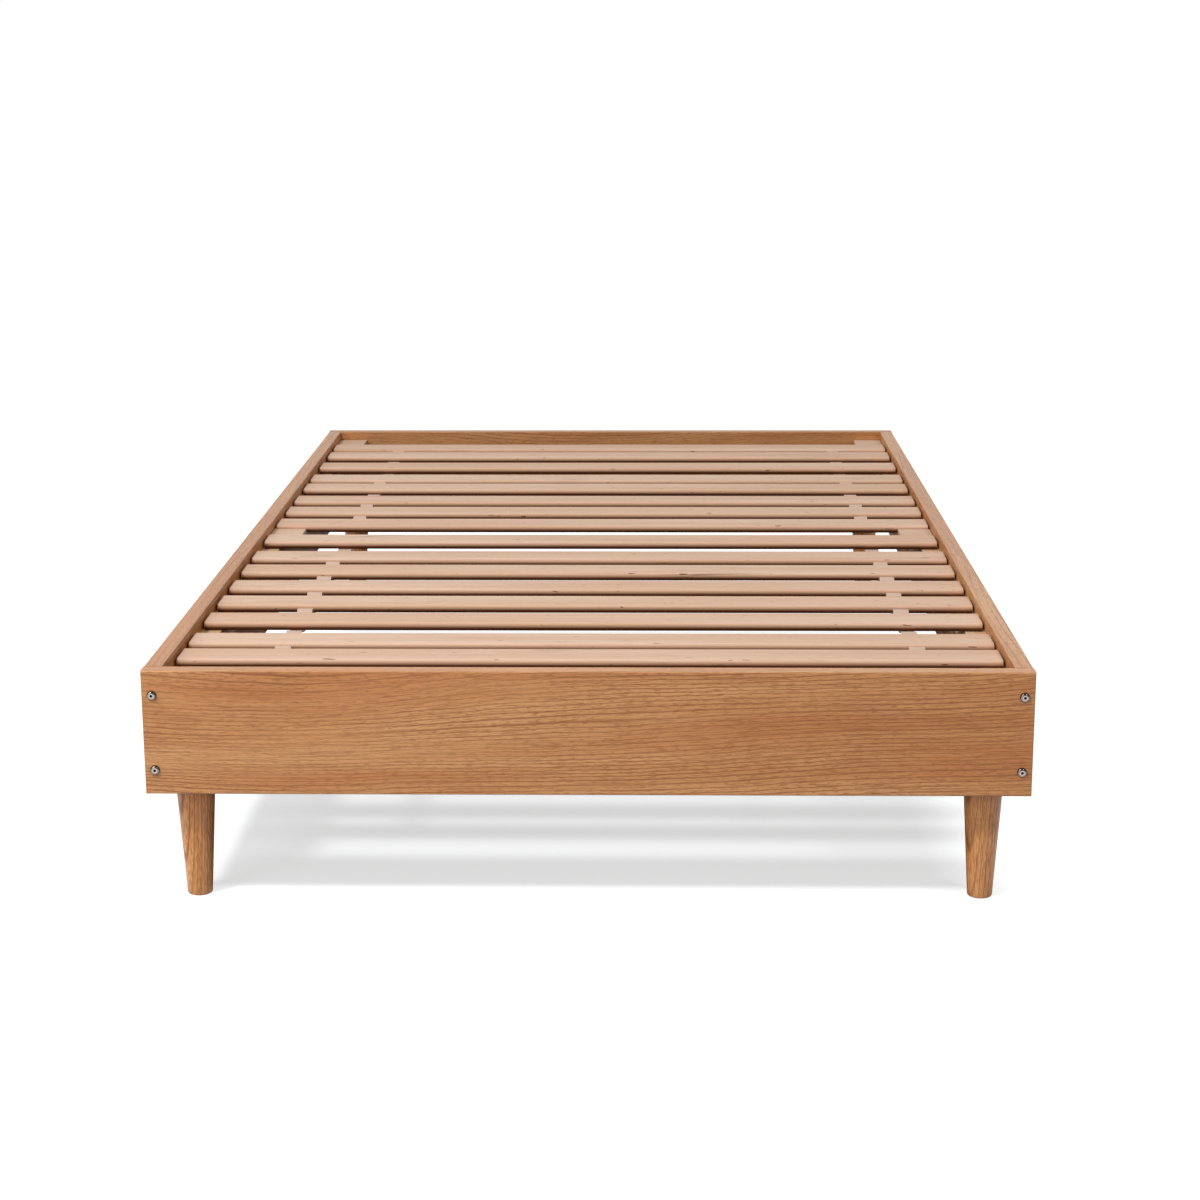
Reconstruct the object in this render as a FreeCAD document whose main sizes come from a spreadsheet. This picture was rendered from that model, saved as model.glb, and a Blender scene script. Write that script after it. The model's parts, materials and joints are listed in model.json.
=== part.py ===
# Bed base: a board frame on four turned legs that carries two roll-up mats of slats.
# X runs across the bed, Y along it with the foot end at -Y, and Z up from the floor.

import FreeCAD
import Part
import Sketcher
import os
import re
from enum import IntEnum

# Driving sizes in millimetres: name, value, meaning.
SIZES = (
    ("outer_width", 1260, "frame width over the side rails"),
    ("outer_length", 2060, "frame length over the end panels"),
    ("board_thickness", 26, "thickness of the end panels and side rails"),
    ("board_height", 182, "height of the end panels and side rails"),
    ("board_edge_radius", 2, "rounding of the long board edges"),
    ("leg_height", 170, "height of the legs under the frame"),
    ("leg_top_diameter", 57, "leg diameter under the frame"),
    ("leg_foot_diameter", 36, "leg diameter at the floor"),
    ("leg_foot_radius", 3, "rounding of the leg's lower rim"),
    ("leg_from_edge", 60, "leg axis from the frame's outer faces"),
    ("corner_block_size", 72, "corner block along the rail and along the panel"),
    ("corner_block_height", 28, "corner block height"),
    ("corner_block_chamfer", 24, "cut across the corner block's inner corner"),
    ("insert_diameter", 12, "threaded leg insert, outside"),
    ("insert_length", 20, "threaded leg insert, along its axis"),
    ("stud_diameter", 8, "leg stud"),
    ("stud_in_leg", 40, "leg stud, depth in the leg"),
    ("ledger_width", 30, "ledger across the bed, also the wood under each screw head"),
    ("ledger_height", 30, "ledger height"),
    ("ledger_end_gap", 40, "ledger end to the panel, clear of the barrel nuts"),
    ("slat_recess", 12, "slat tops below the top of the frame"),
    ("slat_width", 66, "slat width"),
    ("slat_thickness", 14, "slat thickness"),
    ("slat_edge_radius", 5.5, "rounding of the long slat edges"),
    ("slat_end_clearance", 4, "slat end to the side rail"),
    ("foot_margin", 84, "foot panel to the last slat"),
    ("middle_gap", 77, "gap between the two mats"),
    ("head_margin", 91, "head panel to the first slat"),
    ("stop_block_width", 58, "stop block across the bed"),
    ("stop_block_thickness", 8, "stop block thickness"),
    ("stop_block_clearance", 1, "stop block to the rail, the panel and the slats"),
    ("stop_block_edge_radius", 1, "rounding of the stop block's top edges"),
    ("tape_width", 24, "tape width"),
    ("tape_thickness", 1, "tape thickness"),
    ("tape_from_left_rail", 148, "middle of the left tape to the left rail"),
    ("tape_from_right_rail", 120, "middle of the right tape to the right rail"),
    ("tape_end_inset", 6, "tape end to the outer edge of a mat's end slat"),
    ("tape_fold_clearance", 0.15, "tape stretch to the fold line between two slats"),
    ("bolt_from_end", 15, "frame bolt to the panel's end"),
    ("bolt_from_edge", 36, "frame bolt to the panel's long edges"),
    ("bolt_diameter", 6, "frame bolt shank"),
    ("bolt_head_diameter", 14, "frame bolt head"),
    ("bolt_head_height", 4, "frame bolt head height"),
    ("bolt_head_rounding", 3.5, "rounding of the frame bolt's head"),
    ("bolt_socket_width", 4, "hexagon socket across flats"),
    ("bolt_socket_depth", 2.5, "hexagon socket depth"),
    ("bolt_tip", 4, "frame bolt beyond its barrel nut"),
    ("nut_diameter", 10, "barrel nut"),
    ("nut_length", 16, "barrel nut along its axis"),
    ("nut_from_end", 28, "barrel nut to the end of the rail"),
    ("nut_slot_width", 1.5, "turning slot of the barrel nut"),
    ("nut_slot_depth", 1.5, "turning slot of the barrel nut"),
    ("dowel_diameter", 8, "corner dowel"),
    ("dowel_in_panel", 14, "corner dowel, depth in the panel"),
    ("dowel_in_rail", 26, "corner dowel, depth in the rail"),
    ("dowel_chamfer", 1, "chamfer of the dowel's ends"),
    ("screw_diameter", 4, "wood screw shank"),
    ("screw_head_diameter", 8, "wood screw head"),
    ("screw_head_height", 2.5, "wood screw head height"),
    ("screw_in_rail", 15, "wood screw, depth in the rail"),
    ("ledger_screw_margin", 100, "outermost ledger screws to the ledger's ends"),
    ("corner_screw_margin", 15, "corner block screws to the block's ends"),
    ("counterbore_clearance", 0.5, "counterbore round a screw head"),
    ("hole_clearance", 0.15, "hole wall to the pin, bolt, nut or screw in it"),
    ("bore_end_clearance", 1, "bottom of a blind bore to what it holds"),
)

SLATS_PER_MAT = 8
SLAT_COUNT = 2 * SLATS_PER_MAT
LEDGER_SCREW_COUNT = 7
SOCKET_CORNERS = 6

# Each slat's shift towards the head from even spacing, in shares of the even gap, foot end first.
FOOT_MAT_SHIFT_SHARES = (0, -0.46, -0.21, -0.23, -0.34, -0.30, -0.46, 0)
HEAD_MAT_SHIFT_SHARES = (0, -0.03, -0.15, 0.07, -0.29, 0.18, 0.42, 0)

# Values worked out from the driving sizes: name and expression.
DERIVED = (
    ("half_inner_width", "outer_width / 2 - board_thickness"),
    ("half_inner_length", "outer_length / 2 - board_thickness"),
    ("slat_length", "2 * (half_inner_width - slat_end_clearance)"),
    ("slat_bottom", "leg_height + board_height - slat_recess - slat_thickness"),
    ("free_length", "2 * half_inner_length - foot_margin - middle_gap - head_margin"),
    ("slat_gap", f"(free_length - {SLAT_COUNT} * slat_width) / {SLAT_COUNT - 2}"),
    ("slat_pitch", "slat_width + slat_gap"),
    ("mat_length", f"{SLATS_PER_MAT} * slat_width + {SLATS_PER_MAT - 1} * slat_gap"),
    ("ledger_length", "2 * (half_inner_length - ledger_end_gap)"),
    ("ledger_bottom", "slat_bottom - ledger_height"),
    ("ledger_screw_step", f"(ledger_length - 2 * ledger_screw_margin) / {LEDGER_SCREW_COUNT - 1}"),
    ("low_bolt_height", "bolt_from_edge"),
    ("high_bolt_height", "board_height - bolt_from_edge"),
    ("bolt_length", "board_thickness + nut_from_end + nut_diameter / 2 + bolt_tip"),
    ("bolt_bore_depth", "bolt_length - board_thickness + bore_end_clearance"),
    ("bolt_hole_radius", "bolt_diameter / 2 + hole_clearance"),
    ("nut_bore_radius", "nut_diameter / 2 + hole_clearance"),
    ("nut_bore_depth", "board_thickness - bolt_from_end + nut_length / 2 + bore_end_clearance"),
    ("dowel_hole_radius", "dowel_diameter / 2 + hole_clearance"),
    ("dowel_length", "dowel_in_panel + dowel_in_rail"),
    ("screw_length", "ledger_width + screw_in_rail"),
    ("screw_hole_radius", "screw_diameter / 2 + hole_clearance"),
    ("screw_bore_depth", "screw_in_rail + bore_end_clearance"),
    ("screw_head_recess", "corner_block_size - ledger_width"),
    ("counterbore_radius", "screw_head_diameter / 2 + counterbore_clearance"),
    ("leg_from_corner", "leg_from_edge - board_thickness"),
    ("stud_hole_radius", "stud_diameter / 2 + hole_clearance"),
    ("stud_bore_depth", "stud_in_leg + bore_end_clearance"),
    ("insert_bore_radius", "insert_diameter / 2 + hole_clearance"),
    ("insert_bore_depth", "insert_length + bore_end_clearance"),
)

LEFT, RIGHT = -1, 1
FOOT, HEAD = -1, 1
SIDES = (LEFT, RIGHT)
ENDS = (FOOT, HEAD)
SIDE_NAMES = {LEFT: "left", RIGHT: "right"}
END_NAMES = {FOOT: "foot", HEAD: "head"}
BOLT_HEIGHTS = ("low_bolt_height", "high_bolt_height")
X_AXIS = FreeCAD.Vector(1, 0, 0)
Y_AXIS = FreeCAD.Vector(0, 1, 0)
Z_AXIS = FreeCAD.Vector(0, 0, 1)
PARALLEL_SHARE = 0.99


class Spot(IntEnum):
    """Points of a sketch line or circle that a constraint can hold."""
    START = 1
    END = 2
    CENTRE = 3


doc = FreeCAD.newDocument("bed_base")
sheet = doc.addObject("Spreadsheet::Sheet", "Sizes")
derived = doc.addObject("App::VarSet", "Derived")
pieces = []


# Sizes

def fill_sheet():
    """Write each driving size as one row with its alias."""
    for row, (name, size, meaning) in enumerate(SIZES, start=1):
        sheet.set(f"A{row}", name)
        sheet.set(f"B{row}", str(size))
        sheet.setAlias(f"B{row}", name)
        sheet.set(f"C{row}", meaning)
    doc.recompute()


def resolve(expression):
    """Expression text with each size name pointing at the sheet or at the derived values."""
    driving_names = {name for name, _, _ in SIZES}
    derived_names = set(derived.PropertiesList)

    def owner(match):
        word = match.group()
        if word in driving_names:
            return f"Sizes.{word}"
        return f"Derived.{word}" if word in derived_names else word

    return re.sub(r"[a-z]\w*", owner, expression)


def value(expression):
    """Number that an expression of size names stands for."""
    return float(derived.evalExpression(resolve(expression)))


def bind(thing, member, expression):
    """Tie a member of an object to an expression of size names."""
    thing.setExpression(member, resolve(expression))


def derive(name, expression):
    """Add one worked-out value that other expressions can name."""
    text = resolve(expression)
    derived.addProperty("App::PropertyFloat", name)
    derived.setExpression(name, text)
    doc.recompute()


# Sketches

def sketch_on(body, name, plane, place="0"):
    """Empty sketch parallel to one of the body's origin planes, at a place along that plane's axis."""
    sketch = body.newObject("Sketcher::SketchObject", name)
    support = next(item for item in body.Origin.OriginFeatures if item.Role == plane)
    sketch.AttachmentSupport = [(support, "")]
    sketch.MapMode = "FlatFace"
    bind(sketch, "AttachmentOffset.Base.z", f"{facing(sketch)} * ({place})")
    return sketch


def facing(sketch):
    """1 where a sketch's normal points along its positive axis, -1 on the XZ plane."""
    return -1 if sketch.AttachmentSupport[0][0].Role == "XZ_Plane" else 1


def hold(sketch, kind, place, expression):
    """Add one dimension, bound to an expression, to a point or a circle of a sketch."""
    index = sketch.addConstraint(Sketcher.Constraint(kind, *place, value(expression)))
    bind(sketch, f"Constraints[{index}]", expression)


def polygon(sketch, corners):
    """Closed outline of straight lines through corners given as pairs of expressions."""
    spots = [FreeCAD.Vector(value(across), value(up), 0) for across, up in corners]
    first = sketch.GeometryCount
    for start, end in zip(spots, spots[1:] + spots[:1]):
        sketch.addGeometry(Part.LineSegment(start, end), False)
    for step, (across, up) in enumerate(corners):
        following = first + (step + 1) % len(corners)
        sketch.addConstraint(Sketcher.Constraint("Coincident", first + step, Spot.END, following, Spot.START))
        hold(sketch, "DistanceX", (first + step, Spot.START), across)
        hold(sketch, "DistanceY", (first + step, Spot.START), up)


def rectangle(sketch, left, right, low, high):
    """Rectangle between four edges given as expressions."""
    polygon(sketch, ((left, low), (right, low), (right, high), (left, high)))


def circle(sketch, across, up, radius):
    """Circle with its centre and radius given as expressions."""
    centre = FreeCAD.Vector(value(across), value(up), 0)
    index = sketch.addGeometry(Part.Circle(centre, Z_AXIS, value(radius)), False)
    hold(sketch, "DistanceX", (index, Spot.CENTRE), across)
    hold(sketch, "DistanceY", (index, Spot.CENTRE), up)
    hold(sketch, "Radius", (index,), radius)


# Features

def new_body(label):
    """Empty body with its own label."""
    body = doc.addObject("PartDesign::Body", label)
    body.Label = label
    return body


def pad(body, sketch, length, towards):
    """Raise a sketch by a length, towards plus or minus along its axis."""
    feature = body.newObject("PartDesign::Pad", f"{sketch.Name}_pad")
    feature.Profile = sketch
    feature.Reversed = towards * facing(sketch) < 0
    bind(feature, "Length", length)
    doc.recompute()
    return feature


def pocket(body, sketch, towards, depth=None):
    """Cut a sketch into the body, to a depth or right through, and make sure that it cuts."""
    volume = body.Shape.Volume
    feature = body.newObject("PartDesign::Pocket", f"{sketch.Name}_pocket")
    feature.Profile = sketch
    feature.Reversed = towards * facing(sketch) > 0
    if depth is None:
        feature.Type = "ThroughAll"
    else:
        bind(feature, "Length", depth)
    doc.recompute()
    if body.Shape.Volume >= volume:
        raise RuntimeError(f"{feature.Label} of {body.Label} cuts nothing")
    return feature


def revolve(body, sketch, axis):
    """Turn a sketch once round one of its own axes."""
    feature = body.newObject("PartDesign::Revolution", f"{sketch.Name}_turn")
    feature.Profile = sketch
    feature.ReferenceAxis = (sketch, [axis])
    feature.Angle = 360
    doc.recompute()
    return feature


def dress(body, kind, base, member, size, chosen):
    """Fillet or chamfer the edges of a feature that a test chooses."""
    names = [f"Edge{index}" for index, edge in enumerate(base.Shape.Edges, start=1) if chosen(edge)]
    feature = body.newObject(f"PartDesign::{kind}", f"{base.Name}_{kind.lower()}")
    feature.Base = (base, names)
    bind(feature, member, size)
    doc.recompute()
    return feature


def fillet(body, base, radius, chosen):
    """Round the edges of a feature that a test chooses."""
    return dress(body, "Fillet", base, "Radius", radius, chosen)


def runs_along(edge, axis):
    """True for a straight edge that is parallel to an axis."""
    return isinstance(edge.Curve, Part.Line) and abs(edge.Curve.Direction.dot(axis)) > PARALLEL_SHARE


def place(thing, across, along, up, half_turned=False):
    """Set an object's place from expressions, turned by half a turn about Z where asked."""
    if half_turned:
        thing.Placement.Rotation = FreeCAD.Rotation(Z_AXIS, 180)
    for member, expression in zip("xyz", (across, along, up)):
        bind(thing, f"Placement.Base.{member}", expression)


def group(label, master, spots):
    """One node of separate like solids: links to a master at places given as expressions."""
    links = []
    for across, along, up, half_turned in spots:
        link = doc.addObject("App::Link", f"{label}_{len(links) + 1}")
        link.LinkedObject = master
        place(link, across, along, up, half_turned)
        links.append(link)
    return compound(label, links)


def compound(label, members):
    """One node that holds several separate solids."""
    node = doc.addObject("Part::Compound", label)
    node.Label = label
    node.Links = members
    pieces.append(node)
    return node


# Frame boards

def end_panel(end):
    """Board across one end of the bed, with its outer face on its own XZ plane."""
    body = new_body(f"{END_NAMES[end]}_panel")
    face = sketch_on(body, "face", "XZ_Plane")
    rectangle(face, "-outer_width / 2", "outer_width / 2", "0", "board_height")
    board = pad(body, face, "board_thickness", towards=1)
    middle = value("board_thickness / 2")

    def rounded(edge):
        return runs_along(edge, X_AXIS) or (runs_along(edge, Z_AXIS) and edge.CenterOfMass.y < middle)

    fillet(body, board, "board_edge_radius", rounded)
    bolt_holes = sketch_on(body, "bolt_holes", "XZ_Plane")
    dowel_holes = sketch_on(body, "dowel_holes", "XZ_Plane", "board_thickness")
    for side in SIDES:
        for height in BOLT_HEIGHTS:
            circle(bolt_holes, f"{side} * (outer_width / 2 - bolt_from_end)", height, "bolt_hole_radius")
        dowel_across = f"{side} * (outer_width - board_thickness) / 2"
        circle(dowel_holes, dowel_across, "board_height / 2", "dowel_hole_radius")
    pocket(body, bolt_holes, towards=1)
    pocket(body, dowel_holes, towards=-1, depth="dowel_in_panel + bore_end_clearance")
    place(body, "0", f"{end} * outer_length / 2", "leg_height", half_turned=end == HEAD)
    pieces.append(body)


def ledger_screw_places():
    """Places of the ledger screws along the bed, as expressions."""
    middle = (LEDGER_SCREW_COUNT - 1) / 2
    return [f"{index - middle} * ledger_screw_step" for index in range(LEDGER_SCREW_COUNT)]


def corner_screw_places(end):
    """Places of one corner block's two screws along the bed, as expressions."""
    from_panel = ("corner_screw_margin", "corner_block_size - corner_screw_margin")
    return [f"{end} * (half_inner_length - ({distance}))" for distance in from_panel]


def side_rail(side):
    """Board along one side of the bed, with its outer face on its own YZ plane."""
    body = new_body(f"{SIDE_NAMES[side]}_rail")
    face = sketch_on(body, "face", "YZ_Plane")
    rectangle(face, "-half_inner_length", "half_inner_length", "0", "board_height")
    board = pad(body, face, "board_thickness", towards=1)
    fillet(body, board, "board_edge_radius", lambda edge: runs_along(edge, Y_AXIS))
    nut_bores = sketch_on(body, "nut_bores", "YZ_Plane", "board_thickness")
    screw_bores = sketch_on(body, "screw_bores", "YZ_Plane", "board_thickness")
    for end in ENDS:
        bolt_bores = sketch_on(body, f"{END_NAMES[end]}_bolt_bores", "XZ_Plane", f"{end} * half_inner_length")
        dowel_bore = sketch_on(body, f"{END_NAMES[end]}_dowel_bore", "XZ_Plane", f"{end} * half_inner_length")
        for height in BOLT_HEIGHTS:
            circle(bolt_bores, "bolt_from_end", height, "bolt_hole_radius")
            circle(nut_bores, f"{end} * (half_inner_length - nut_from_end)", height, "nut_bore_radius")
        circle(dowel_bore, "board_thickness / 2", "board_height / 2", "dowel_hole_radius")
        for along in corner_screw_places(end):
            circle(screw_bores, along, "corner_block_height / 2", "screw_hole_radius")
        pocket(body, bolt_bores, towards=-end, depth="bolt_bore_depth")
        pocket(body, dowel_bore, towards=-end, depth="dowel_in_rail + bore_end_clearance")
    for along in ledger_screw_places():
        circle(screw_bores, along, "ledger_bottom + ledger_height / 2 - leg_height", "screw_hole_radius")
    pocket(body, nut_bores, towards=-1, depth="nut_bore_depth")
    pocket(body, screw_bores, towards=-1, depth="screw_bore_depth")
    place(body, f"{side} * outer_width / 2", "0", "leg_height", half_turned=side == RIGHT)
    pieces.append(body)


def ledger(side):
    """Strip on the inner face of one side rail, with its screw holes."""
    body = new_body(f"{SIDE_NAMES[side]}_ledger")
    face = sketch_on(body, "face", "YZ_Plane")
    rectangle(face, "-ledger_length / 2", "ledger_length / 2", "0", "ledger_height")
    pad(body, face, "ledger_width", towards=1)
    screw_holes = sketch_on(body, "screw_holes", "YZ_Plane")
    for along in ledger_screw_places():
        circle(screw_holes, along, "ledger_height / 2", "screw_hole_radius")
    pocket(body, screw_holes, towards=1)
    place(body, f"{side} * half_inner_width", "0", "ledger_bottom", half_turned=side == RIGHT)
    pieces.append(body)


# Legs and what holds them

def corner_block(side, end):
    """Block in one corner of the frame that carries a leg and is screwed to the side rail."""
    body = new_body(f"{END_NAMES[end]}_{SIDE_NAMES[side]}_corner_block")
    inward = side * end
    outline = sketch_on(body, "outline", "XY_Plane")
    polygon(outline, (
        ("0", "0"),
        ("corner_block_size", "0"),
        ("corner_block_size", f"{inward} * (corner_block_size - corner_block_chamfer)"),
        ("corner_block_size - corner_block_chamfer", f"{inward} * corner_block_size"),
        ("0", f"{inward} * corner_block_size"),
    ))
    pad(body, outline, "corner_block_height", towards=1)
    insert_bore = sketch_on(body, "insert_bore", "XY_Plane")
    circle(insert_bore, "leg_from_corner", f"{inward} * leg_from_corner", "insert_bore_radius")
    pocket(body, insert_bore, towards=1, depth="insert_bore_depth")
    screw_holes = sketch_on(body, "screw_holes", "YZ_Plane")
    head_recesses = sketch_on(body, "head_recesses", "YZ_Plane", "corner_block_size")
    for distance in ("corner_screw_margin", "corner_block_size - corner_screw_margin"):
        circle(screw_holes, f"{inward} * ({distance})", "corner_block_height / 2", "screw_hole_radius")
        circle(head_recesses, f"{inward} * ({distance})", "corner_block_height / 2", "counterbore_radius")
    pocket(body, screw_holes, towards=1)
    pocket(body, head_recesses, towards=-1, depth="screw_head_recess")
    corner = (f"{side} * half_inner_width", f"{end} * half_inner_length", "leg_height")
    place(body, *corner, half_turned=side == RIGHT)
    pieces.append(body)


def leg_axis(side, end):
    """Place of one leg's axis on the floor, as expressions."""
    return f"{side} * (outer_width / 2 - leg_from_edge)", f"{end} * (outer_length / 2 - leg_from_edge)"


def leg(side, end):
    """Turned leg that tapers to the floor, with a rounded lower rim and a bore for its stud."""
    body = new_body(f"{END_NAMES[end]}_{SIDE_NAMES[side]}_leg")
    profile = sketch_on(body, "profile", "XZ_Plane")
    polygon(profile, (
        ("0", "0"),
        ("leg_foot_diameter / 2", "0"),
        ("leg_top_diameter / 2", "leg_height"),
        ("stud_hole_radius", "leg_height"),
        ("stud_hole_radius", "leg_height - stud_bore_depth"),
        ("0", "leg_height - stud_bore_depth"),
    ))
    turned = revolve(body, profile, "V_Axis")
    rim_top = value("leg_foot_radius")
    fillet(body, turned, "leg_foot_radius", lambda edge: edge.BoundBox.ZMax < rim_top)
    place(body, *leg_axis(side, end), "0")
    pieces.append(body)


def leg_fixings():
    """Studs that screw into the legs, and the threaded inserts in the corner blocks that take them."""
    spots = [(*leg_axis(side, end), "leg_height", False) for end in ENDS for side in SIDES]
    stud = new_body("leg_stud")
    section = sketch_on(stud, "section", "XY_Plane", "-stud_in_leg")
    circle(section, "0", "0", "stud_diameter / 2")
    pad(stud, section, "stud_in_leg + insert_length", towards=1)
    group("leg_studs", stud, spots)
    insert = new_body("leg_insert")
    ring = sketch_on(insert, "ring", "XY_Plane")
    circle(ring, "0", "0", "insert_diameter / 2")
    circle(ring, "0", "0", "stud_hole_radius")
    pad(insert, ring, "insert_length", towards=1)
    group("leg_inserts", insert, spots)


# Frame fasteners

def frame_bolt():
    """Dome-head bolt along Y with a hexagon socket, seated with its head's underside at the origin."""
    body = new_body("frame_bolt")
    profile = sketch_on(body, "profile", "XY_Plane")
    polygon(profile, (
        ("0", "-bolt_head_height"),
        ("bolt_head_diameter / 2", "-bolt_head_height"),
        ("bolt_head_diameter / 2", "0"),
        ("bolt_diameter / 2", "0"),
        ("bolt_diameter / 2", "bolt_length"),
        ("0", "bolt_length"),
    ))
    turned = revolve(body, profile, "V_Axis")
    under_head = value("-bolt_head_height / 2")
    fillet(body, turned, "bolt_head_rounding", lambda edge: edge.BoundBox.YMax < under_head)
    socket = sketch_on(body, "socket", "XZ_Plane", "-bolt_head_height")
    turns = [f"{index * 360 / SOCKET_CORNERS} deg" for index in range(SOCKET_CORNERS)]
    reach = "bolt_socket_width / sqrt(3)"
    polygon(socket, [(f"{reach} * cos({turn})", f"{reach} * sin({turn})") for turn in turns])
    pocket(body, socket, towards=1, depth="bolt_socket_depth")
    return body


def barrel_nut():
    """Barrel nut along X with a cross hole for its bolt and a turning slot on its inner end."""
    body = new_body("barrel_nut")
    section = sketch_on(body, "section", "YZ_Plane", "-nut_length / 2")
    circle(section, "0", "0", "nut_diameter / 2")
    pad(body, section, "nut_length", towards=1)
    cross_hole = sketch_on(body, "cross_hole", "XZ_Plane", "-nut_diameter / 2")
    circle(cross_hole, "0", "0", "bolt_hole_radius")
    pocket(body, cross_hole, towards=1)
    slot = sketch_on(body, "slot", "YZ_Plane", "nut_length / 2")
    rectangle(slot, "-nut_diameter / 2", "nut_diameter / 2", "-nut_slot_width / 2", "nut_slot_width / 2")
    pocket(body, slot, towards=-1, depth="nut_slot_depth")
    return body


def corner_dowel():
    """Wooden dowel along Y with chamfered ends."""
    body = new_body("corner_dowel")
    section = sketch_on(body, "section", "XZ_Plane")
    circle(section, "0", "0", "dowel_diameter / 2")
    rod = pad(body, section, "dowel_length", towards=1)
    dress(body, "Chamfer", rod, "Size", "dowel_chamfer", lambda edge: isinstance(edge.Curve, Part.Circle))
    return body


def frame_fasteners():
    """Bolts, barrel nuts and dowels of the four frame corners."""
    bolt = frame_bolt()
    nut_spots = []
    dowel_spots = []
    for end in ENDS:
        bolt_spots = []
        for side in SIDES:
            across = f"{side} * (outer_width / 2 - bolt_from_end)"
            for height in BOLT_HEIGHTS:
                up = f"leg_height + {height}"
                bolt_spots.append((across, f"{end} * outer_length / 2", up, end == HEAD))
                nut_along = f"{end} * (half_inner_length - nut_from_end)"
                nut_spots.append((across, nut_along, up, side == RIGHT))
            dowel_across = f"{side} * (outer_width - board_thickness) / 2"
            dowel_along = f"{end} * (half_inner_length + dowel_in_panel)"
            dowel_spots.append((dowel_across, dowel_along, "leg_height + board_height / 2", end == HEAD))
        group(f"{END_NAMES[end]}_frame_bolts", bolt, bolt_spots)
    group("barrel_nuts", barrel_nut(), nut_spots)
    group("corner_dowels", corner_dowel(), dowel_spots)


def wood_screws():
    """Pan-head screws that hold the ledgers and the corner blocks to the side rails."""
    body = new_body("wood_screw")
    profile = sketch_on(body, "profile", "XY_Plane")
    polygon(profile, (
        ("screw_head_height", "0"),
        ("screw_head_height", "screw_head_diameter / 2"),
        ("0", "screw_head_diameter / 2"),
        ("0", "screw_diameter / 2"),
        ("screw_diameter - screw_length", "screw_diameter / 2"),
        ("-screw_length", "0"),
    ))
    revolve(body, profile, "H_Axis")
    ledger_spots = []
    corner_spots = []
    for side in SIDES:
        across = f"{side} * (half_inner_width - ledger_width)"
        for along in ledger_screw_places():
            ledger_spots.append((across, along, "ledger_bottom + ledger_height / 2", side == RIGHT))
        for end in ENDS:
            for along in corner_screw_places(end):
                up = "leg_height + corner_block_height / 2"
                corner_spots.append((across, along, up, side == RIGHT))
    group("ledger_screws", body, ledger_spots)
    group("corner_block_screws", body, corner_spots)


# Slat mats

def derive_slat_places():
    """Name each slat's middle along the bed and each fold line, slat 1 nearest the head."""
    mats = (
        ("-half_inner_length + foot_margin", FOOT_MAT_SHIFT_SHARES),
        ("-half_inner_length + foot_margin + mat_length + middle_gap", HEAD_MAT_SHIFT_SHARES),
    )
    number = SLAT_COUNT
    for mat_start, shift_shares in mats:
        for index, share in enumerate(shift_shares):
            middle = f"{mat_start} + slat_width / 2 + {index} * slat_pitch + {share} * slat_gap"
            derive(f"slat_{number:02d}_place", middle)
            if index > 0:
                fold = f"(slat_{number:02d}_place + slat_{number + 1:02d}_place) / 2"
                derive(f"fold_{number:02d}_place", fold)
            number -= 1


def slat(number):
    """One slat across the bed with rounded long edges."""
    body = new_body(f"slat_{number:02d}")
    section = sketch_on(body, "section", "YZ_Plane", "-slat_length / 2")
    rectangle(section, "-slat_width / 2", "slat_width / 2", "0", "slat_thickness")
    strip = pad(body, section, "slat_length", towards=1)
    fillet(body, strip, "slat_edge_radius", lambda edge: runs_along(edge, X_AXIS))
    place(body, "0", f"slat_{number:02d}_place", "slat_bottom")
    pieces.append(body)


def slat_tapes(number):
    """The stretches of both tapes under one slat, from fold line to fold line."""
    middle = f"slat_{number:02d}_place"
    head_end = f"fold_{number - 1:02d}_place - tape_fold_clearance"
    foot_end = f"fold_{number:02d}_place + tape_fold_clearance"
    if number % SLATS_PER_MAT == 1:
        head_end = f"{middle} + slat_width / 2 - tape_end_inset"
    if number % SLATS_PER_MAT == 0:
        foot_end = f"{middle} - slat_width / 2 + tape_end_inset"
    strips = []
    for side in SIDES:
        rail_distance = f"tape_from_{SIDE_NAMES[side]}_rail"
        strip = doc.addObject("Part::Box", f"{SIDE_NAMES[side]}_tape_{number:02d}")
        bind(strip, "Length", "tape_width")
        bind(strip, "Width", f"{head_end} - ({foot_end})")
        bind(strip, "Height", "tape_thickness")
        across = f"{side} * (half_inner_width - {rail_distance}) - tape_width / 2"
        place(strip, across, foot_end, "slat_bottom - tape_thickness")
        strips.append(strip)
    compound(f"tape_{number:02d}", strips)


def stop_blocks(name, length, along):
    """Pair of blocks on the ledgers that keep a mat from sliding along the bed."""
    body = new_body(f"{name}_stop_block")
    outline = sketch_on(body, "outline", "XY_Plane")
    half_width, half_length = "stop_block_width / 2", f"({length} - 2 * stop_block_clearance) / 2"
    rectangle(outline, f"-{half_width}", half_width, f"-{half_length}", half_length)
    block = pad(body, outline, "stop_block_thickness", towards=1)
    under_top = value("stop_block_thickness / 2")
    fillet(body, block, "stop_block_edge_radius", lambda edge: edge.BoundBox.ZMin > under_top)
    across = "(half_inner_width - stop_block_clearance - stop_block_width / 2)"
    spots = [(f"{side} * {across}", along, "slat_bottom", False) for side in SIDES]
    group(f"{name}_stop_blocks", body, spots)


# Whole bed

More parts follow.
